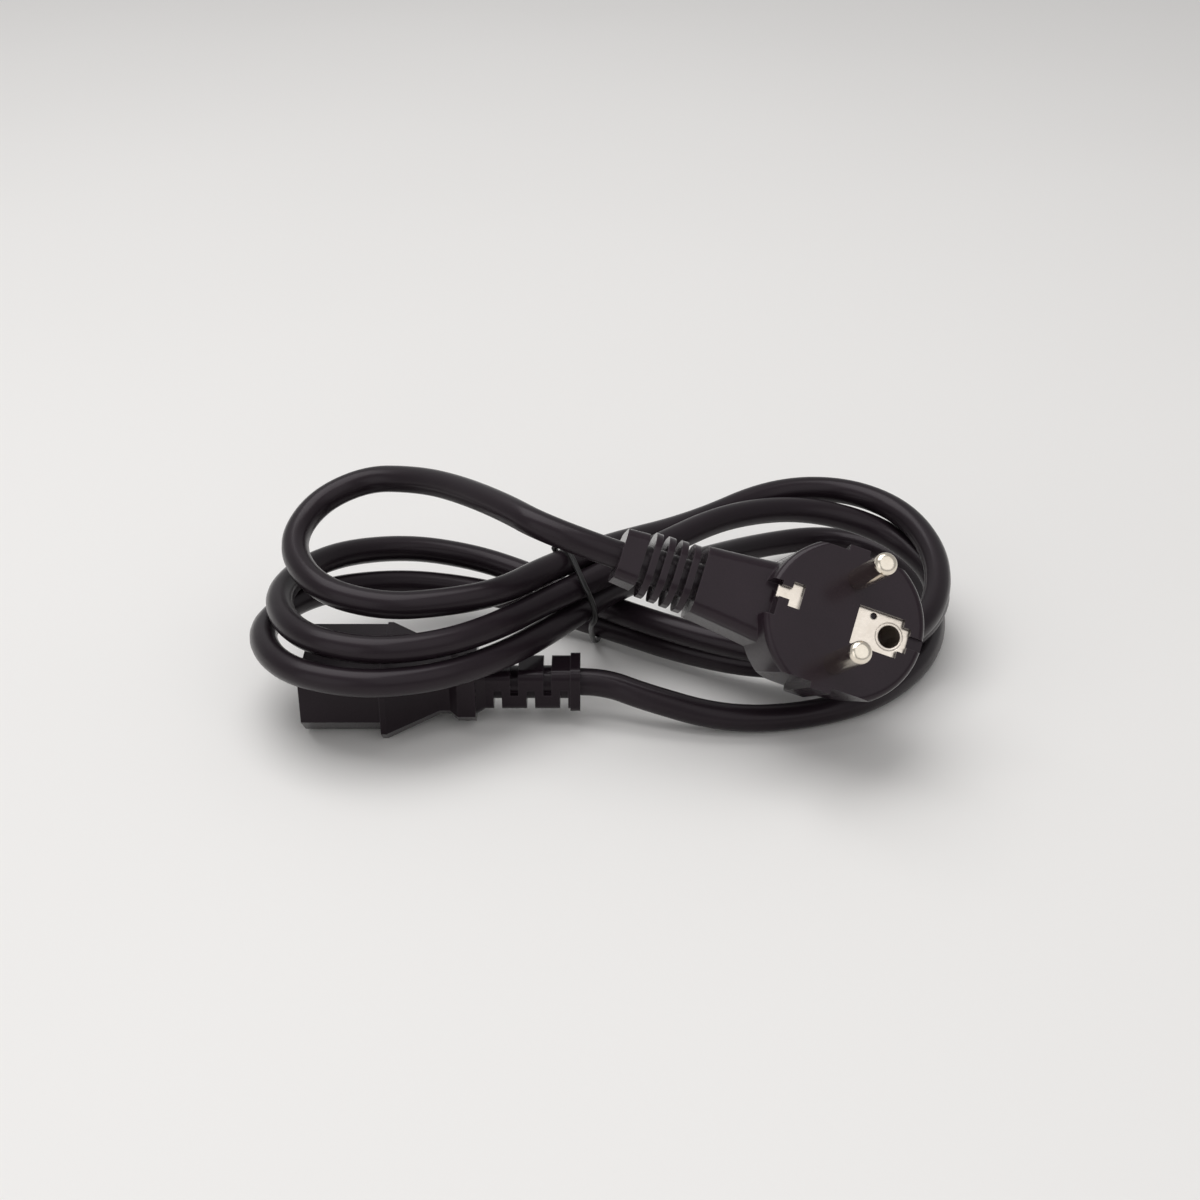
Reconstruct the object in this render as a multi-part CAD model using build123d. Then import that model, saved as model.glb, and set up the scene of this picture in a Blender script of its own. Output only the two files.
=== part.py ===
from build123d import *
import os
from math import cos, pi, radians, sin, sqrt, tan

os.makedirs("parts", exist_ok=True)

# Cord: round three-core PVC flex wound as a figure-eight hank
cord_d = 6.2
cord_lift = 0.05
lobe_steps = 11
fold_share = 0.45
plug_run = 16.0
connector_run = 5.5

# Hank: where each strand passes through the tie, and where the plug's lead turns away
fall_2 = (-0.7, 7.4, 4.6)
fall_1 = (-0.7, 5.2, 10.9)
rise_3 = (-6.4, -14.1, 18.7)
rise_2 = (-7.3, -10.5, 24.5)
rise_1 = (-8.0, -7.9, 30.6)
lead_turn = (-21.7, -15.6, 48.0)

# Lobes from the plug to the connector: reach, half width, skew, lift
lobe_1_left = (55.8, 23.8, 4.3, -6.0)
lobe_1_right = (85.5, 33.9, 11.4, -1.8)
lobe_2_left = (70.1, 26.5, -9.7, 6.7)
lobe_2_right = (87.3, 34.0, 16.3, -2.5)
lobe_3_left = (73.8, 23.6, -15.9, 7.4)
lobe_3_right = (85.6, 35.1, 40.4, -28.7)
lobe_shares = (1.0, 0.21, 1.0, 0.9, 1.0, 0.39)

# Plug: pins and earth socket follow the two-pole-and-earth 16 A pattern
pin_d = 4.8
pin_reach = 19.0
pin_pitch = 19.0
pin_root = 7.0
pin_root_d = 4.0
pin_tip_round = 1.3
socket_inset = 5.4
socket_bore_d = 4.9
socket_wall = 0.55
socket_depth = 16.0
face_d = 35.6
body_taper = 2.0
body_shift = 2.3
face_round = 1.6
front_depth = 16.0
tail_depth = 8.0
tail_taper = 7.6
tail_round = 3.0
flat_inset = 3.0
flat_lean = 4.6
tongue_w = 4.6
tongue_side = 1.4
tongue_reach = 1.3
recess_w = 7.6
recess_depth = 2.4
relief_axis = -12.0
neck_root = 9.0
neck_waist = 21.0
neck_end = 31.4
neck_root_size = (20.0, 15.0)
neck_waist_size = (17.0, 14.0)
neck_end_size = (15.0, 13.0)
block_start = 44.2
block_end = 49.0
block_size = (11.8, 11.2)
block_tip_share = 0.94
rib_count = 4
rib_thick = 1.5
rib_end_size = (14.0, 12.4)
core_wall = 1.0
join = 1.0
corner_share = 0.22
rib_corner_share = 0.42

# Earth bracket: one stamped strip seen through two windows in the face
strip_thick = 0.8
strip_sunk = 1.2
plate_w = 8.6
plate_len = 10.4
tab_w = 5.4
tab_len = 1.8
tab_inset = 1.4
bridge_w = 4.0
clip_w = 5.4
clip_len = 2.6
clip_inset = 2.3
clip_side = 1.6
clip_tab_w = 2.6
clip_overhang = 0.5
eyelet_d = 1.4
eyelet_inset = 3.8
eyelet_side = 3.2

# Plug placement: it leans on the hank with its pins towards the viewer
plug_at = (52.0, -41.5, 33.9)
plug_turn = 12.2
plug_tilt = 51.6
plug_roll = 154.8

# Connector: cold-condition three-pole 10 A pattern, lying flat, nose to the left
nose_w = 24.0
nose_h = 16.0
nose_len = 17.5
nose_chamfer = 5.0
shoulder_w = 25.0
shoulder_h = 17.0
shoulder_drop = 0.3
shoulder_chamfer = 3.0
shoulder_len = 1.2
waist_from = 30.1
waist_to = 32.4
waist_size = (13.0, 11.6)
waist_bevel_share = 0.2
flange_from = 34.2
flange_to = 38.2
flange_size = (16.0, 14.0)
sleeve_from = 40.2
sleeve_to = 61.4
sleeve_size = (9.8, 9.8)
sleeve_root_share = 1.2
lip_len = 2.2
lip_grow = 1.0
slot_w = 1.8
slot_first = 43.0
slot_pitch = 3.7
slot_count = 5
slot_past_axis = 0.6
slot_core_d = 7.4
pole_pitch = 14.0
earth_drop = 4.0
hole_w = 2.6
hole_h = 5.0
hole_depth = 4.0
contact_w = 4.0
contact_h = 6.4
contact_len = 10.5
contact_wall = 0.6
connector_nose = (-65.8, -26.0)

# Tie: coated wire wrapped once around the five strands, its ends overlapping behind
tie_d = 1.3
tie_slack = 0.62
tie_strands = (
    "fall_1", "rise_1", "rise_1", "rise_1", "rise_1", "rise_3", "rise_3", "rise_3",
    "fall_2", "fall_2", "fall_2", "fall_2", "fall_2", "fall_1", "rise_1",
)
tie_angles = (26, 18, 62, 106, 150, 160, 200, 237, 226, 255, 282, 322, 5, 26, 24)
tie_shifts = (-2.2, -3.2, -3.6, -3.8, -4.0, 0.0, 0.2, 0.5, 0.0, 0.0, -0.5, -1.0, -2.2, -3.8, -4.8)

# Places that follow from the sizes above
body_d = face_d - body_taper
tail_d = face_d - tail_taper
flat_at = face_d / 2 - flat_inset
recess_floor = face_d / 2 - recess_depth
socket_offset = recess_floor - socket_inset
tab_end = tab_inset - recess_floor
plate_from = tab_end + tab_len
plate_to = plate_from + plate_len
clip_to = recess_floor - clip_inset
clip_from = clip_to - clip_len
clip_tip = recess_floor + clip_overhang
connector_axis_z = shoulder_h / 2 + shoulder_drop
plug_frame = Pos(*plug_at) * Rot(0, 0, plug_turn) * Rot(plug_tilt, 0, 0) * Rot(0, 0, plug_roll)
connector_frame = Pos(connector_nose[0], connector_nose[1], connector_axis_z)
plug_exit = (plug_frame * Pos(block_end, 0, relief_axis)).position
plug_lead = (plug_frame * Pos(block_end + plug_run, 0, relief_axis)).position
connector_exit = (connector_frame * Pos(sleeve_to, 0, 0)).position
connector_lead = (connector_frame * Pos(sleeve_to + connector_run, 0, 0)).position


def across(x, z=0.0):
    return Plane(origin=(x, 0, z), x_dir=(0, 1, 0), z_dir=(1, 0, 0))


def rounded(x, size, z=0.0, share=corner_share):
    return across(x, z) * RectangleRounded(size[0], size[1], min(size) * share)


def bevelled(x, size, bevel, z=0.0):
    half_w = size[0] / 2
    half_h = size[1] / 2
    corners = [
        (-half_w, half_h),
        (half_w, half_h),
        (half_w, bevel - half_h),
        (half_w - bevel, -half_h),
        (bevel - half_w, -half_h),
        (-half_w, bevel - half_h),
    ]
    return across(x, z) * make_face(Polyline(*corners, close=True))


def slab(x_from, x_to, width, z_from, z_to):
    middle = Pos((x_from + x_to) / 2, 0, (z_from + z_to) / 2)
    return middle * Box(x_to - x_from, width, z_to - z_from)


def rod(diameter, x_from, x_to, z=0.0):
    return extrude(across(x_from, z) * Circle(diameter / 2), x_to - x_from)


# Plug
def plug_disc():
    total = front_depth + tail_depth
    face = Circle(face_d / 2)
    waist = Pos(body_shift, 0, -front_depth) * Circle(body_d / 2)
    tail = Pos(body_shift, 0, -total) * Circle(tail_d / 2)
    disc = loft([face, waist]) + loft([waist, tail])
    disc = fillet(disc.edges().group_by(Axis.Z)[-1], face_round)
    disc = fillet(disc.edges().group_by(Axis.Z)[0], tail_round)
    shave = Box(face_d, face_d, 3 * total)
    tip = Box(tongue_w, face_d, 3 * total)
    for side in (-1, 1):
        flat = Pos(tongue_side, side * flat_at, 0) * Rot(-side * flat_lean, 0, 0)
        beyond = flat * Pos(0, side * face_d / 2, 0)
        for half in (-1, 1):
            disc -= beyond * Pos(half * (tongue_w + face_d) / 2, 0, 0) * shave
        disc -= beyond * Pos(0, side * tongue_reach, 0) * tip
    return disc - slab(recess_floor, face_d, recess_w, -front_depth, join)


def plug_relief():
    neck = loft([
        rounded(neck_root, neck_root_size, relief_axis),
        rounded(neck_waist, neck_waist_size, relief_axis),
        rounded(neck_end, neck_end_size, relief_axis),
    ])
    block_tip = [size * block_tip_share for size in block_size]
    block = loft([rounded(block_start, block_size, relief_axis), rounded(block_end, block_tip, relief_axis)])
    core = rod(cord_d + 2 * core_wall, neck_end - join, block_start + join, relief_axis)
    relief = neck + block + core
    ribbed = block_start - neck_end
    gap = (ribbed - rib_count * rib_thick) / (rib_count + 1)
    for index in range(rib_count):
        start = neck_end + gap + index * (rib_thick + gap)
        share = (start - neck_end) / ribbed
        size = [a + (b - a) * share for a, b in zip(neck_end_size, rib_end_size)]
        relief += extrude(rounded(start, size, relief_axis, rib_corner_share), rib_thick)
    return relief


def face_window(start, end, width):
    return slab(start, end, width, -strip_sunk, join)


def plug_pin(side):
    pin = Pos(0, 0, pin_reach / 2) * Cylinder(pin_d / 2, pin_reach)
    pin = fillet(pin.edges().group_by(Axis.Z)[-1], pin_tip_round)
    pin += Pos(0, 0, -pin_root / 2) * Cylinder(pin_root_d / 2, pin_root)
    return Pos(0, side * pin_pitch / 2, 0) * pin


def socket_rod(diameter):
    length = socket_depth - strip_sunk
    return Pos(-socket_offset, 0, -strip_sunk - length / 2) * Cylinder(diameter / 2, length)


def earth_socket():
    return socket_rod(socket_bore_d + 2 * socket_wall) - socket_rod(socket_bore_d)


def earth_strip():
    top = -strip_sunk
    low = top - strip_thick
    strip = slab(plate_from, plate_to, plate_w, low, top)
    strip += slab(tab_end, plate_from, tab_w, low, top)
    strip += slab(plate_to, clip_from, bridge_w, low, top)
    clip = slab(clip_from, clip_to, clip_w, low, top) + slab(clip_to, clip_tip, clip_tab_w, low, top)
    return strip + Pos(0, -clip_side, 0) * clip


def earth_bracket():
    through = 2 * (strip_sunk + strip_thick + join)
    eyelet = Pos(plate_to - eyelet_inset, -eyelet_side, 0) * Cylinder(eyelet_d / 2, through)
    return earth_strip() - socket_rod(socket_bore_d + 2 * socket_wall) - eyelet


def plug_body():
    body = plug_disc() + plug_relief()
    body -= face_window(plate_from, plate_to, plate_w)
    body -= face_window(tab_end, plate_from, tab_w)
    body -= face_window(-face_d / 2, tab_end, clip_tab_w)
    body -= Pos(0, -clip_side, 0) * face_window(clip_from, clip_to, clip_w)
    body -= Pos(0, -clip_side, 0) * face_window(clip_to, face_d / 2, clip_tab_w)
    body -= earth_strip()
    body -= socket_rod(socket_bore_d + 2 * socket_wall)
    for side in (-1, 1):
        body -= plug_pin(side)
    return body


# Connector
def poles():
    return [(-pole_pitch / 2, 0), (pole_pitch / 2, 0), (0, -earth_drop)]


def connector_shell():
    nose = extrude(bevelled(0, (nose_w, nose_h), nose_chamfer), nose_len)
    wing = (shoulder_w, shoulder_h)
    wing_end = nose_len + shoulder_len
    shoulder = extrude(bevelled(nose_len, wing, shoulder_chamfer, -shoulder_drop), shoulder_len)
    waist_bevel = waist_size[1] * waist_bevel_share
    flange_bevel = flange_size[1] * waist_bevel_share
    taper = loft([
        bevelled(wing_end, wing, shoulder_chamfer, -shoulder_drop),
        bevelled(waist_from, waist_size, waist_bevel),
    ], ruled=True)
    waist = extrude(bevelled(waist_from, waist_size, waist_bevel), waist_to - waist_from)
    flare = loft([
        bevelled(waist_to, waist_size, waist_bevel),
        bevelled(flange_from, flange_size, flange_bevel),
    ], ruled=True)
    flange = extrude(bevelled(flange_from, flange_size, flange_bevel), flange_to - flange_from)
    return nose + shoulder + taper + waist + flare + flange


def connector_sleeve():
    root = [size * sleeve_root_share for size in sleeve_size]
    sleeve = loft([rounded(flange_to, root), rounded(sleeve_from, sleeve_size)])
    sleeve += extrude(rounded(sleeve_from, sleeve_size), sleeve_to - sleeve_from)
    lip = [size + lip_grow for size in sleeve_size]
    sleeve += extrude(rounded(sleeve_to - lip_len, lip), lip_len)
    deep = 2 * sleeve_size[0]
    core = rod(slot_core_d, sleeve_from, sleeve_to)
    for index in range(slot_count):
        side = 1 if index % 2 else -1
        middle = side * (deep / 2 - slot_past_axis)
        sleeve -= Pos(slot_first + index * slot_pitch, 0, middle) * Box(slot_w, deep, deep) - core
    return sleeve


def contact_block(y, z, trim):
    width = contact_w - 2 * trim
    height = contact_h - 2 * trim
    return Pos(hole_depth + contact_len / 2, y, z) * Box(contact_len, width, height)


def contact(y, z):
    seam = Pos(hole_depth + contact_len / 2, y, z + contact_h / 2) * Box(contact_len, contact_wall, contact_h)
    return contact_block(y, z, 0) - contact_block(y, z, contact_wall) - seam


def connector_body():
    body = connector_shell() + connector_sleeve()
    for y, z in poles():
        body -= Pos(hole_depth / 2, y, z) * Box(hole_depth, hole_w, hole_h)
        body -= contact_block(y, z, 0)
    return body


# Cord
def lobe(side, size, pointed, start, finish):
    reach, half_width, skew, lift = size
    points = []
    for step in range(lobe_steps):
        angle = pi * (step + 0.5) / lobe_steps
        share = (1 - cos(angle)) / 2
        narrow = 1 + pointed * cos(angle) ** 2
        x = side * reach * sin(angle) / narrow
        y = half_width * sin(2 * angle) * sqrt(1 + pointed) / narrow + skew * sin(angle)
        z = lift * sin(angle) ** 2
        base = Vector(*start) * (1 - share) + Vector(*finish) * share
        height = max(base.Z + z, cord_d / 2 + cord_lift)
        points.append(Vector(base.X + x, base.Y + y, height))
    return points


def hank():
    sizes = (lobe_1_left, lobe_1_right, lobe_2_left, lobe_2_right, lobe_3_left, lobe_3_right)
    ends = (lead_turn, rise_1, fall_1, rise_2, fall_2, rise_3, connector_lead)
    turns = []
    for index, (size, pointed) in enumerate(zip(sizes, lobe_shares)):
        side = 1 if index % 2 else -1
        turns.append(lobe(side, size, pointed, ends[index], ends[index + 1]))
    return turns


def cord_points():
    first, *others = hank()
    points = [plug_exit, plug_lead, Vector(*lead_turn)] + first[1:]
    for turn in others:
        points += turn
    return points + [connector_lead, connector_exit]


def fold_radii(points):
    radii = []
    for before, here, after in zip(points, points[1:], points[2:]):
        first = here - before
        second = after - here
        half_turn = radians(first.get_angle(second) / 2)
        run = min(first.length, second.length)
        radii.append(fold_share * run / tan(half_turn))
    return radii


def tube(points, diameter):
    radii = fold_radii(points)
    path = FilletPolyline(*points, radius=radii)
    section = Plane(origin=path @ 0, z_dir=path % 0) * Circle(diameter / 2)
    return sweep(section, path=path), path, radii


def cord():
    solid, path, radii = tube(cord_points(), cord_d)
    print("cord length", round(path.length, 1))
    print("cord folds from", round(min(radii), 1), "to", round(max(radii), 1))
    print("tube volume share", round(solid.volume / (pi * cord_d**2 / 4 * path.length), 4))
    return solid


# Tie
def tied_runs():
    left_1, right_1, left_2, right_2, left_3, right_3 = hank()
    return {
        "rise_1": (left_1[-1], right_1[0]),
        "fall_1": (left_2[0], right_1[-1]),
        "fall_2": (left_3[0], right_2[-1]),
        "rise_3": (left_3[-1], right_3[0]),
    }


def tie_point(run, bearing, shift):
    start, end = run
    along = (end - start).normalized()
    side = Vector(0, 0, 1).cross(along).normalized()
    up = along.cross(side)
    reach = (cord_d + tie_d) / 2 + tie_slack
    angle = radians(bearing)
    spot = (start + end) / 2 + along * (shift / along.X)
    spot += side * (reach * cos(angle)) + up * (reach * sin(angle))
    return Vector(spot.X, spot.Y, max(spot.Z, tie_d / 2 + cord_lift))


def wire_tie():
    runs = tied_runs()
    corners = zip(tie_strands, tie_angles, tie_shifts)
    points = [tie_point(runs[strand], bearing, shift) for strand, bearing, shift in corners]
    solid, path, radii = tube(points, tie_d)
    print("tie length", round(path.length, 1), "tightest fold", round(min(radii), 1))
    return solid


# Every piece where it lies, with the hank centred over its origin
shapes = {
    "plug_body": plug_frame * plug_body(),
    "pin_upper": plug_frame * plug_pin(-1),
    "pin_lower": plug_frame * plug_pin(1),
    "earth_bracket": plug_frame * earth_bracket(),
    "earth_socket": plug_frame * earth_socket(),
    "connector_body": connector_frame * connector_body(),
    "cord": cord(),
    "wire_tie": wire_tie(),
}
for pole, (pole_y, pole_z) in zip(("near", "far", "earth"), poles()):
    shapes[f"contact_{pole}"] = connector_frame * contact(pole_y, pole_z)

boxes = [shape.bounding_box() for shape in shapes.values()]
middle_x = (min(box.min.X for box in boxes) + max(box.max.X for box in boxes)) / 2
middle_y = (min(box.min.Y for box in boxes) + max(box.max.Y for box in boxes)) / 2
centred = Pos(-middle_x, -middle_y, 0)
for name, shape in shapes.items():
    export_step(centred * shape, f"parts/{name}.step")

for label, place in (
    ("upper pin", (0, -pin_pitch / 2, 0)),
    ("lower pin", (0, pin_pitch / 2, 0)),
    ("earth socket", (-socket_offset, 0, -socket_depth)),
    ("plug face", (0, 0, 0)),
):
    spot = (centred * plug_frame * Pos(*place)).position
    print(label, [round(value, 4) for value in (spot.X, spot.Y, spot.Z)])
facing = (plug_frame * Pos(0, 0, 1)).position - plug_frame.position
print("pins face", [round(value, 5) for value in (facing.X, facing.Y, facing.Z)])
print("middle", round(middle_x, 3), round(middle_y, 3))
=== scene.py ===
from math import cos, pi, radians, sin, sqrt

import bpy
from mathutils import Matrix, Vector


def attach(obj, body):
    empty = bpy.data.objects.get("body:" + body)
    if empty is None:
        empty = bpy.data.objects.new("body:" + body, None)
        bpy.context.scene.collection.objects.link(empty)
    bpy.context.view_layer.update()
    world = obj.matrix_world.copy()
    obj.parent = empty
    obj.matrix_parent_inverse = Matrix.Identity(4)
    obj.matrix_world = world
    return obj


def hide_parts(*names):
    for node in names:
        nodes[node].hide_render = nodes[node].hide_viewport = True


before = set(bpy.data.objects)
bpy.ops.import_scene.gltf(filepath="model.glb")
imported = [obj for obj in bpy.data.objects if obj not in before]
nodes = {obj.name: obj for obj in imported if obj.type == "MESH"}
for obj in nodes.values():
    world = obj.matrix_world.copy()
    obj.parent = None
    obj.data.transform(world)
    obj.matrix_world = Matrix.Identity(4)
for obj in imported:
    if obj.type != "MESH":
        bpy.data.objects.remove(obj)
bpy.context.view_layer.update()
contactNames = ["contact_near", "contact_far", "contact_earth"]
millimetre = 0.001
hankMiddle = (3.097, -5.366)  # the hank is centred over its origin
print("frame loaded:", len(nodes), "nodes")


def inFrame(point):
    x, y, z = point
    return Vector((x - hankMiddle[0], y - hankMiddle[1], z)) * millimetre


# camera at the photograph's angle
viewSettings = {
    "target": (0, 0, 15),
    "elevation": 30,
    "distance": 430,
    "lens": 54.8,
    "sensor": 36,
    "nearClip": 0.01,
}


def makeCamera(s):
    tilt = radians(s["elevation"])
    back = Vector((0, -cos(tilt), sin(tilt)))
    data = bpy.data.cameras.new("viewCamera")
    data.lens = s["lens"]
    data.sensor_width = s["sensor"]
    data.clip_start = s["nearClip"]
    camera = bpy.data.objects.new("viewCamera", data)
    bpy.context.collection.objects.link(camera)
    camera.location = inFrame(s["target"]) + back * s["distance"] * millimetre
    camera.rotation_mode = "QUATERNION"
    camera.rotation_quaternion = (-back).to_track_quat("-Z", "Y")
    bpy.context.scene.camera = camera


makeCamera(viewSettings)
print("camera set")


# node helpers: a value or colour goes in as it is, a socket is linked
def addNode(tree, kind, values=None, **attributes):
    node = tree.nodes.new(kind)
    for name, value in attributes.items():
        setattr(node, name, value)
    for name, value in (values or {}).items():
        node.inputs[name].default_value = value
    return node


def feed(tree, socket, value):
    if isinstance(value, (int, float, tuple)):
        socket.default_value = value
    else:
        tree.links.new(value, socket)


def mathNode(tree, operation, first, second):
    node = addNode(tree, "ShaderNodeMath", operation=operation)
    feed(tree, node.inputs[0], first)
    feed(tree, node.inputs[1], second)
    return node.outputs[0]


def mapRange(tree, value, low, high, toLow, toHigh):
    node = addNode(tree, "ShaderNodeMapRange")
    feed(tree, node.inputs["Value"], value)
    feed(tree, node.inputs["From Min"], low)
    feed(tree, node.inputs["From Max"], high)
    feed(tree, node.inputs["To Min"], toLow)
    feed(tree, node.inputs["To Max"], toHigh)
    return node.outputs["Result"]


def mixColour(tree, factor, first, second):
    node = addNode(tree, "ShaderNodeMix", data_type="RGBA")
    feed(tree, node.inputs["Factor"], factor)
    feed(tree, node.inputs[6], first)  # 6 and 7 are its colour inputs
    feed(tree, node.inputs[7], second)
    return node.outputs[2]  # its colour output


def noise(tree, vector, scale, detail, roughness=0.5):
    node = addNode(tree, "ShaderNodeTexNoise", {"Detail": detail, "Roughness": roughness})
    feed(tree, node.inputs["Vector"], vector)
    feed(tree, node.inputs["Scale"], scale)
    return node.outputs["Fac"]


# shared surface effects, each built once as a node group
def newGroup(name, inputs, outputs):
    group = bpy.data.node_groups.new(name, "ShaderNodeTree")
    for label, kind in inputs.items():
        group.interface.new_socket(label, in_out="INPUT", socket_type=kind)
    for label, kind in outputs.items():
        group.interface.new_socket(label, in_out="OUTPUT", socket_type=kind)
    return group, group.nodes.new("NodeGroupInput"), group.nodes.new("NodeGroupOutput")


# moulded PVC: fine pitted grain, broad cloudiness and a few rubbed patches
grainSettings = {
    "fineDetail": 3,
    "fineRoughness": 0.6,
    "cloudScale": 55,
    "cloudDetail": 4,
    "cloudShare": 0.6,
    "fineShare": 0.4,
    "rubScale": 130,
    "rubDetail": 5,
    "rubRoughness": 0.7,
    "rubRange": (0.58, 0.74),
    "rubPolish": 0.06,
    "noiseRange": (0.3, 0.7),  # where most of the noise lies
    "pitDepth": 0.6,
}


def makeMouldGrain(s):
    group, start, end = newGroup(
        "mouldGrain",
        {
            "Vector": "NodeSocketVector",
            "Grain Scale": "NodeSocketFloat",
            "Dark": "NodeSocketColor",
            "Light": "NodeSocketColor",
            "Rough Low": "NodeSocketFloat",
            "Rough High": "NodeSocketFloat",
        },
        {"Colour": "NodeSocketColor", "Roughness": "NodeSocketFloat", "Height": "NodeSocketFloat"},
    )
    given = start.outputs
    place = given["Vector"]
    fine = noise(group, place, given["Grain Scale"], s["fineDetail"], s["fineRoughness"])
    pits = addNode(group, "ShaderNodeTexVoronoi", feature="F1")
    feed(group, pits.inputs["Vector"], place)
    feed(group, pits.inputs["Scale"], given["Grain Scale"])
    cloud = noise(group, place, s["cloudScale"], s["cloudDetail"])
    patches = noise(group, place, s["rubScale"], s["rubDetail"], s["rubRoughness"])
    rubbed = mapRange(group, patches, *s["rubRange"], 0, 1)
    cloudTone = mathNode(group, "MULTIPLY", cloud, s["cloudShare"])
    fineTone = mathNode(group, "MULTIPLY", fine, s["fineShare"])
    tone = mathNode(group, "ADD", cloudTone, fineTone)
    tone = mapRange(group, tone, *s["noiseRange"], 0, 1)
    feed(group, end.inputs["Colour"], mixColour(group, tone, given["Dark"], given["Light"]))
    rough = mapRange(group, fine, *s["noiseRange"], given["Rough Low"], given["Rough High"])
    polish = mathNode(group, "MULTIPLY", rubbed, s["rubPolish"])
    feed(group, end.inputs["Roughness"], mathNode(group, "SUBTRACT", rough, polish))
    pitted = mathNode(group, "MULTIPLY", pits.outputs["Distance"], s["pitDepth"])
    feed(group, end.inputs["Height"], mathNode(group, "ADD", fine, pitted))
    return group


# a rounded normal for edges, and a mask of where they are, where a painted edge highlight goes
edgeSettings = {
    "radius": 0.00045,
    "samples": 6,
}


def makeSoftEdge(s):
    group, start, end = newGroup(
        "softEdge",
        {"Spread": "NodeSocketFloat"},
        {"Normal": "NodeSocketVector", "Edge Sheen": "NodeSocketFloat"},
    )
    bevel = addNode(group, "ShaderNodeBevel", {"Radius": s["radius"]}, samples=s["samples"])
    shape = addNode(group, "ShaderNodeNewGeometry")
    dot = addNode(group, "ShaderNodeVectorMath", operation="DOT_PRODUCT")
    feed(group, dot.inputs[0], bevel.outputs["Normal"])
    feed(group, dot.inputs[1], shape.outputs["Normal"])
    # how far the rounded normal bends marks the edges that get the painted highlight
    bent = mathNode(group, "SUBTRACT", 1.0, dot.outputs["Value"])
    edgeSheen = mathNode(group, "MULTIPLY", bent, start.outputs["Spread"])
    feed(group, end.inputs["Normal"], bevel.outputs["Normal"])
    feed(group, end.inputs["Edge Sheen"], mathNode(group, "MINIMUM", edgeSheen, 1.0))
    return group


mouldGrain = makeMouldGrain(grainSettings)
softEdge = makeSoftEdge(edgeSettings)
print("node groups built")


def placeGroup(tree, group, values):
    return addNode(tree, "ShaderNodeGroup", values, node_tree=group)


def newMaterial(name):
    material = bpy.data.materials.new(name)
    material.use_nodes = True
    return material, material.node_tree, material.node_tree.nodes["Principled BSDF"]


def placeGrain(tree, s):
    place = addNode(tree, "ShaderNodeTexCoord")
    grain = placeGroup(tree, mouldGrain, {
        "Grain Scale": s["grainScale"],
        "Dark": s["dark"],
        "Light": s["light"],
        "Rough Low": s["roughLow"],
        "Rough High": s["roughHigh"],
    })
    feed(tree, grain.inputs["Vector"], place.outputs["Object"])
    return grain.outputs


def bumpFrom(tree, height, s, normal=None):
    bump = addNode(tree, "ShaderNodeBump", {"Strength": s["bump"], "Distance": s["bumpDepth"]})
    feed(tree, bump.inputs["Height"], height)
    if normal is not None:
        feed(tree, bump.inputs["Normal"], normal)
    return bump.outputs["Normal"]


# low gloss face on, with a thin skin that shines at a glancing view
def satinCoat(shader, s):
    shader.inputs["Specular IOR Level"].default_value = s["specular"]
    shader.inputs["Specular Tint"].default_value = s["tint"]
    shader.inputs["Coat Weight"].default_value = s["coat"]
    shader.inputs["Coat Roughness"].default_value = s["coatRoughness"]
    shader.inputs["Coat IOR"].default_value = s["coatIor"]


# moulded plug and connector
plugSettings = {
    "dark": (0.0088, 0.0048, 0.0072, 1),
    "light": (0.0172, 0.0098, 0.0142, 1),
    # lighter colour painted along the edges as a highlight
    "edgeSheen": (0.036, 0.027, 0.032, 1),
    "edgeSheenSpread": 4.0,
    "grainScale": 3000.0,
    "bump": 0.35,
    "bumpDepth": 0.00006,
    "roughLow": 0.3,
    "roughHigh": 0.44,
    "specular": 0.12,
    "tint": (1.0, 0.78, 0.92, 1),
    "coat": 0.9,
    "coatRoughness": 0.16,
    "coatIor": 1.3,
}
connectorSettings = {
    "dark": (0.006, 0.0034, 0.005, 1),
    "light": (0.0122, 0.0075, 0.0105, 1),
    # lighter colour painted along the edges as a highlight
    "edgeSheen": (0.03, 0.023, 0.028, 1),
    "edgeSheenSpread": 4.0,
    "grainScale": 2600.0,
    "bump": 0.35,
    "bumpDepth": 0.00006,
    "roughLow": 0.28,
    "roughHigh": 0.4,
    "specular": 0.08,
    "tint": (1.0, 0.78, 0.92, 1),
    "coat": 0.8,
    "coatRoughness": 0.14,
    "coatIor": 1.25,
}


def makeMouldedPvc(name, s):
    material, tree, shader = newMaterial(name)
    grain = placeGrain(tree, s)
    edgeSheen = placeGroup(tree, softEdge, {"Spread": s["edgeSheenSpread"]}).outputs
    # the edges get a lighter colour mixed in: a painted highlight
    colour = mixColour(tree, edgeSheen["Edge Sheen"], grain["Colour"], s["edgeSheen"])
    feed(tree, shader.inputs["Base Color"], colour)
    feed(tree, shader.inputs["Roughness"], grain["Roughness"])
    satinCoat(shader, s)
    feed(tree, shader.inputs["Normal"], bumpFrom(tree, grain["Height"], s, edgeSheen["Normal"]))
    return material


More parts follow.
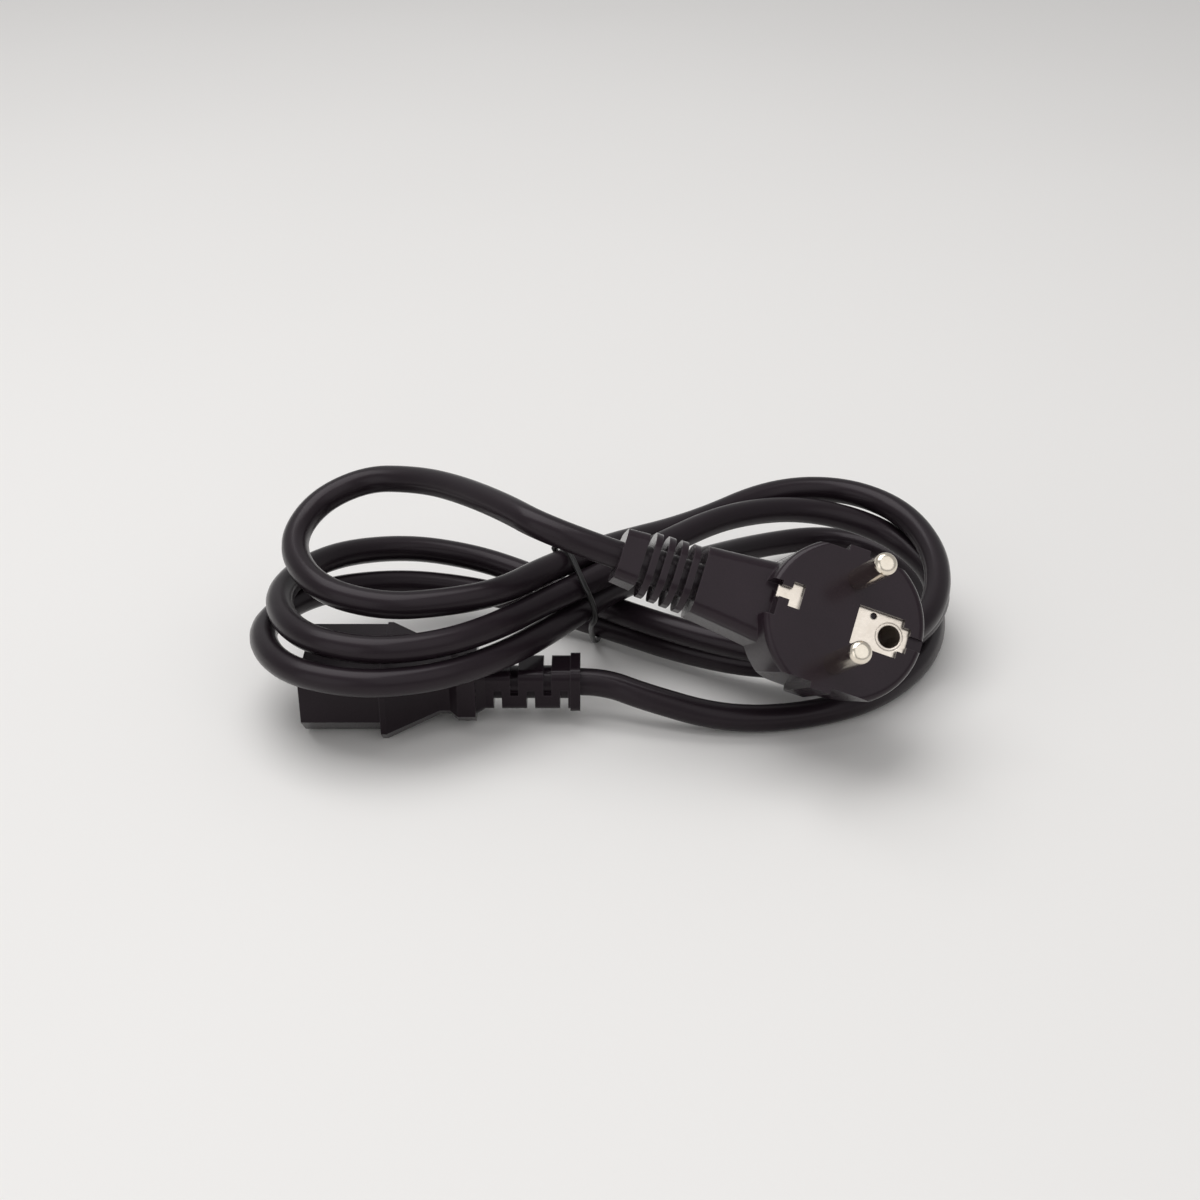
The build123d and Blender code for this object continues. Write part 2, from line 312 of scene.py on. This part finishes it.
# flex: smoother than the mouldings, drawn lines along its length
cordSettings = {
    "diameter": 6.2,
    "roundness": 7,
    "lift": 0.05,  # gap under it
    "length": 1.275,
    "steps": 11,  # control points in a lobe
    "plugExit": (3.939, -29.011, 42.797),
    "plugLead": (-11.106, -27.934, 48.135),
    "leadTurn": (-21.7, -15.6, 48.0),
    "connectorLead": (1.1, -26.0, 8.8),
    "connectorExit": (-4.4, -26.0, 8.8),
    "fall2": (-0.7, 7.4, 4.6),
    "fall1": (-0.7, 5.2, 10.9),
    "rise3": (-6.4, -14.1, 18.7),
    "rise2": (-7.3, -10.5, 24.5),
    "rise1": (-8.0, -7.9, 30.6),
    "lobes": [  # side, reach, half width, skew, rise, pointedness, from, to
        (-1, 55.8, 23.8, 4.3, -6.0, 1.0, "leadTurn", "rise1"),
        (1, 85.5, 33.9, 11.4, -1.8, 0.21, "rise1", "fall1"),
        (-1, 70.1, 26.5, -9.7, 6.7, 1.0, "fall1", "rise2"),
        (1, 87.3, 34.0, 16.3, -2.5, 0.9, "rise2", "fall2"),
        (-1, 73.8, 23.6, -15.9, 7.4, 1.0, "fall2", "rise3"),
        (1, 85.6, 35.1, 40.4, -28.7, 0.39, "rise3", "connectorLead"),
    ],
    "moved": [  # lobe, step, how far back and up it is moved to follow the photograph
        (0, 1, -1.4, -0.8), (0, 2, -1.9, -0.3), (0, 3, -1.6, 1.2), (0, 4, -1.5, 0.9),
        (0, 9, -1.3, -0.6), (0, 10, 0.4, -0.6),
        (1, 0, 1.2, -3.0), (1, 1, 1.9, -6.7), (1, 2, 3.5, -2.3), (1, 3, 2.4, 0.1),
        (1, 4, 1.1, 1.7), (1, 5, 0.4, 1.4),
        (3, 0, -6.0, 0.7), (3, 1, -12.0, 3.4), (3, 2, -11.8, 5.9), (3, 3, -9.0, 5.0),
        (3, 4, -5.7, 2.1), (3, 5, -2.8, 0.5),
        (5, 1, -4.9, -0.1), (5, 2, -2.0, 1.6), (5, 3, 0.5, 1.6), (5, 4, 0.5, 1.2),
        (5, 9, -1.0, -0.8), (5, 10, -0.6, -1.4),
    ],
    "dark": (0.0064, 0.004, 0.0056, 1),
    "light": (0.0134, 0.0088, 0.0118, 1),
    "grainScale": 4200.0,
    "drawnScale": (3, 46, 1),  # along the cord, around it
    "drawnDetail": 2,
    "drawnShare": 0.5,
    "bump": 0.25,
    "bumpDepth": 0.00004,
    "roughLow": 0.36,
    "roughHigh": 0.48,
    "specular": 0.16,
    "tint": (1.0, 0.82, 0.93, 1),
    "coat": 0.65,
    "coatRoughness": 0.22,
    "coatIor": 1.28,
}
curveSteps = 10  # divisions between a curve's control points


def lobePoints(s, lobe):
    side, reach, halfWidth, skew, rise, pointedness, start, finish = lobe
    start, finish = Vector(s[start]), Vector(s[finish])
    points = []
    for step in range(s["steps"]):
        angle = pi * (step + 0.5) / s["steps"]
        narrow = 1 + pointedness * cos(angle) ** 2
        base = start.lerp(finish, (1 - cos(angle)) / 2)
        swing = halfWidth * sin(2 * angle) * sqrt(1 + pointedness) / narrow
        x = base.x + side * reach * sin(angle) / narrow
        y = base.y + swing + skew * sin(angle)
        z = base.z + rise * sin(angle) ** 2
        points.append((x, y, max(z, s["diameter"] / 2 + s["lift"])))
    return points


def windHank(s):
    hank = [lobePoints(s, lobe) for lobe in s["lobes"]]
    for lobe, step, back, up in s["moved"]:
        x, y, z = hank[lobe][step]
        hank[lobe][step] = (x, y + back, z + up)
    return hank


def smoothCurve(name, points, s):
    data = bpy.data.curves.new(name, "CURVE")
    data.dimensions = "3D"
    data.resolution_u = curveSteps
    data.bevel_depth = s["diameter"] / 2 * millimetre
    data.bevel_resolution = s["roundness"]
    data.use_fill_caps = True
    spline = data.splines.new("NURBS")
    spline.points.add(len(points) - 1)
    for knot, point in zip(spline.points, points):
        knot.co = (*inFrame(point), 1)
    spline.order_u = 3
    spline.use_endpoint_u = True
    curve = bpy.data.objects.new(name, data)
    bpy.context.collection.objects.link(curve)
    return curve


def makeCordPvc(s):
    material, tree, shader = newMaterial("cordPvc")
    grain = placeGrain(tree, s)
    feed(tree, shader.inputs["Base Color"], grain["Colour"])
    feed(tree, shader.inputs["Roughness"], grain["Roughness"])
    satinCoat(shader, s)
    place = addNode(tree, "ShaderNodeTexCoord")
    stretch = addNode(tree, "ShaderNodeMapping", {"Scale": s["drawnScale"]})
    feed(tree, stretch.inputs["Vector"], place.outputs["UV"])
    drawn = noise(tree, stretch.outputs["Vector"], 1.0, s["drawnDetail"])
    drawn = mathNode(tree, "MULTIPLY", drawn, s["drawnShare"])
    height = mathNode(tree, "ADD", drawn, grain["Height"])
    feed(tree, shader.inputs["Normal"], bumpFrom(tree, height, s))
    return material


def makeCord(s, hank):
    route = [s["plugExit"], s["plugLead"], s["leadTurn"]] + hank[0][1:]
    for points in hank[1:]:
        route += points
    route += [s["connectorLead"], s["connectorExit"]]
    cord = smoothCurve("flex", route, s)
    cord.data.materials.append(makeCordPvc(s))
    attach(cord, "root")
    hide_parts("cord")
    return cord


hank = windHank(cordSettings)
flex = makeCord(cordSettings, hank)
print("flex wound:", len(flex.data.splines[0].points), "points")


# coated wire around the strands
tieSettings = {
    "diameter": 1.3,
    "roundness": 5,
    "reach": 4.37,
    "runs": {  # the stretch of each strand under the tie, left end first
        "rise1": (hank[0][-1], hank[1][0]),
        "rise2": (hank[2][-1], hank[3][0]),
        "rise3": (hank[4][-1], hank[5][0]),
        "fall1": (hank[2][0], hank[1][-1]),
        "fall2": (hank[4][0], hank[3][-1]),
    },
    "corners": [  # strand, bearing around it, shift along it
        ("fall1", 26, -2.2),
        ("rise1", 18, -3.2), ("rise1", 62, -3.6), ("rise1", 106, -3.8), ("rise1", 150, -4.0),
        ("rise2", 150, 0.6), ("rise2", 185, 1.2),
        ("rise3", 160, 0), ("rise3", 200, 0.2), ("rise3", 237, 0.5),
        ("fall2", 226, 0), ("fall2", 255, 0), ("fall2", 282, -0.5),
        ("fall2", 322, -1.0), ("fall2", 5, -2.2),
        ("fall1", -4, -3.2), ("fall1", 34, -4.0), ("fall1", 72, -5.0),
        ("rise1", -8, -4.8),
    ],
    "dark": (0.008, 0.0075, 0.008, 1),
    "light": (0.016, 0.015, 0.0155, 1),
    "grainScale": 5200.0,
    "bump": 0.2,
    "bumpDepth": 0.00003,
    "roughLow": 0.28,
    "roughHigh": 0.4,
}


def tiePoint(s, strand, bearing, shift):
    start, end = (Vector(point) for point in s["runs"][strand])
    along = (end - start).normalized()
    side = Vector((0, 0, 1)).cross(along).normalized()
    angle = radians(bearing)
    spot = (start + end) / 2 + along * (shift / along.x)
    spot += (side * cos(angle) + along.cross(side) * sin(angle)) * s["reach"]
    return (spot.x, spot.y, max(spot.z, s["diameter"] / 2 + cordSettings["lift"]))


def makeTie(s):
    points = [tiePoint(s, *corner) for corner in s["corners"]]
    tie = smoothCurve("tieWire", points, s)
    material, tree, shader = newMaterial("tieCoat")
    grain = placeGrain(tree, s)
    feed(tree, shader.inputs["Base Color"], grain["Colour"])
    feed(tree, shader.inputs["Roughness"], grain["Roughness"])
    feed(tree, shader.inputs["Normal"], bumpFrom(tree, grain["Height"], s))
    tie.data.materials.append(material)
    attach(tie, "root")
    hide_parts("wire_tie")


makeTie(tieSettings)
print("tie made")


# plated pins and earth strip, brass contacts
metalSettings = {
    "platedPin": {
        "bright": (0.88, 0.81, 0.7, 1),
        "dull": (0.74, 0.66, 0.55, 1),
        "roughness": (0.12, 0.2),
    },
    "platedStrip": {
        "bright": (0.93, 0.85, 0.76, 1),
        "dull": (0.82, 0.74, 0.65, 1),
        "roughness": (0.26, 0.4),
    },
    "contactBrass": {
        "bright": (0.72, 0.55, 0.26, 1),
        "dull": (0.45, 0.32, 0.14, 1),
        "roughness": (0.3, 0.5),
    },
}
wearSettings = {
    "tarnish": (220, 5, 0.6),  # scale, detail, roughness of its noise
    "tarnishRange": (0.35, 0.7),
    "scratchScale": (900, 5200, 5200),  # long in x
    "scratchDetail": 3,
    "scratchRange": (0.3, 0.7),
    "edgeSheenSpread": 2.0,
    "bump": 0.12,
    "bumpDepth": 0.00003,
}


def makeMetal(name, s, wear):
    material, tree, shader = newMaterial(name)
    place = addNode(tree, "ShaderNodeTexCoord").outputs["Object"]
    tarnish = noise(tree, place, *wear["tarnish"])
    tarnish = mapRange(tree, tarnish, *wear["tarnishRange"], 0, 1)
    feed(tree, shader.inputs["Base Color"], mixColour(tree, tarnish, s["bright"], s["dull"]))
    shader.inputs["Metallic"].default_value = 1.0
    scratch = addNode(tree, "ShaderNodeMapping", {"Scale": wear["scratchScale"]})
    feed(tree, scratch.inputs["Vector"], place)
    lines = noise(tree, scratch.outputs["Vector"], 1.0, wear["scratchDetail"])
    rough = mapRange(tree, lines, *wear["scratchRange"], *s["roughness"])
    feed(tree, shader.inputs["Roughness"], rough)
    edgeSheen = placeGroup(tree, softEdge, {"Spread": wear["edgeSheenSpread"]}).outputs
    feed(tree, shader.inputs["Normal"], bumpFrom(tree, lines, wear, edgeSheen["Normal"]))
    return material


def dress(names, material):
    for name in names:
        data = nodes[name].data
        data.materials.clear()
        data.materials.append(material)


dress(["plug_body"], makeMouldedPvc("plugPvc", plugSettings))
dress(["connector_body"], makeMouldedPvc("connectorPvc", connectorSettings))
metalPieces = {
    "platedPin": ["pin_upper", "pin_lower"],
    "platedStrip": ["earth_bracket", "earth_socket"],
    "contactBrass": contactNames,
}
for finish, names in metalPieces.items():
    dress(names, makeMetal(finish, metalSettings[finish], wearSettings))
print("mouldings and metal dressed")


# pale table and soft studio light
studioSettings = {
    "floorSize": 6.0,
    "floorLight": (0.86, 0.845, 0.83, 1),
    "floorDark": (0.81, 0.795, 0.78, 1),
    "floorScale": 3.0,
    "floorDetail": 2,
    "floorRoughness": 0.6,
    "worldColour": (1, 1, 1, 1),
    "world": 0.42,
    "lights": [  # name, power, size, place
        ("keyLight", 6.5, 0.9, (-0.25, 0.15, 1.0)),
        ("fillLight", 2.4, 1.0, (-0.9, -1.0, 0.5)),
        ("faceLight", 1.9, 1.0, (0.36, -0.7, 0.79)),
    ],
}


def areaLight(name, power, size, place):
    data = bpy.data.lights.new(name, "AREA")
    data.energy = power
    data.size = size
    light = bpy.data.objects.new(name, data)
    bpy.context.collection.objects.link(light)
    light.location = place
    light.rotation_mode = "QUATERNION"
    light.rotation_quaternion = (-Vector(place)).to_track_quat("-Z", "Y")


def makeFloor(s):
    half = s["floorSize"] / 2
    corners = [(-half, -half, 0), (half, -half, 0), (half, half, 0), (-half, half, 0)]
    mesh = bpy.data.meshes.new("tableTop")
    mesh.from_pydata(corners, [], [(0, 1, 2, 3)])
    floor = bpy.data.objects.new("tableTop", mesh)
    bpy.context.collection.objects.link(floor)
    material, tree, shader = newMaterial("paleTable")
    place = addNode(tree, "ShaderNodeTexCoord").outputs["Object"]
    soft = noise(tree, place, s["floorScale"], s["floorDetail"])
    feed(tree, shader.inputs["Base Color"], mixColour(tree, soft, s["floorDark"], s["floorLight"]))
    shader.inputs["Roughness"].default_value = s["floorRoughness"]
    mesh.materials.append(material)


def makeLight(s):
    world = bpy.data.worlds.new("softRoom")
    world.use_nodes = True
    sky = world.node_tree.nodes["Background"]
    sky.inputs["Color"].default_value = s["worldColour"]
    sky.inputs["Strength"].default_value = s["world"]
    bpy.context.scene.world = world
    for light in s["lights"]:
        areaLight(*light)


makeFloor(studioSettings)
makeLight(studioSettings)
bpy.context.scene.view_settings.view_transform = "Standard"
print("studio lit")
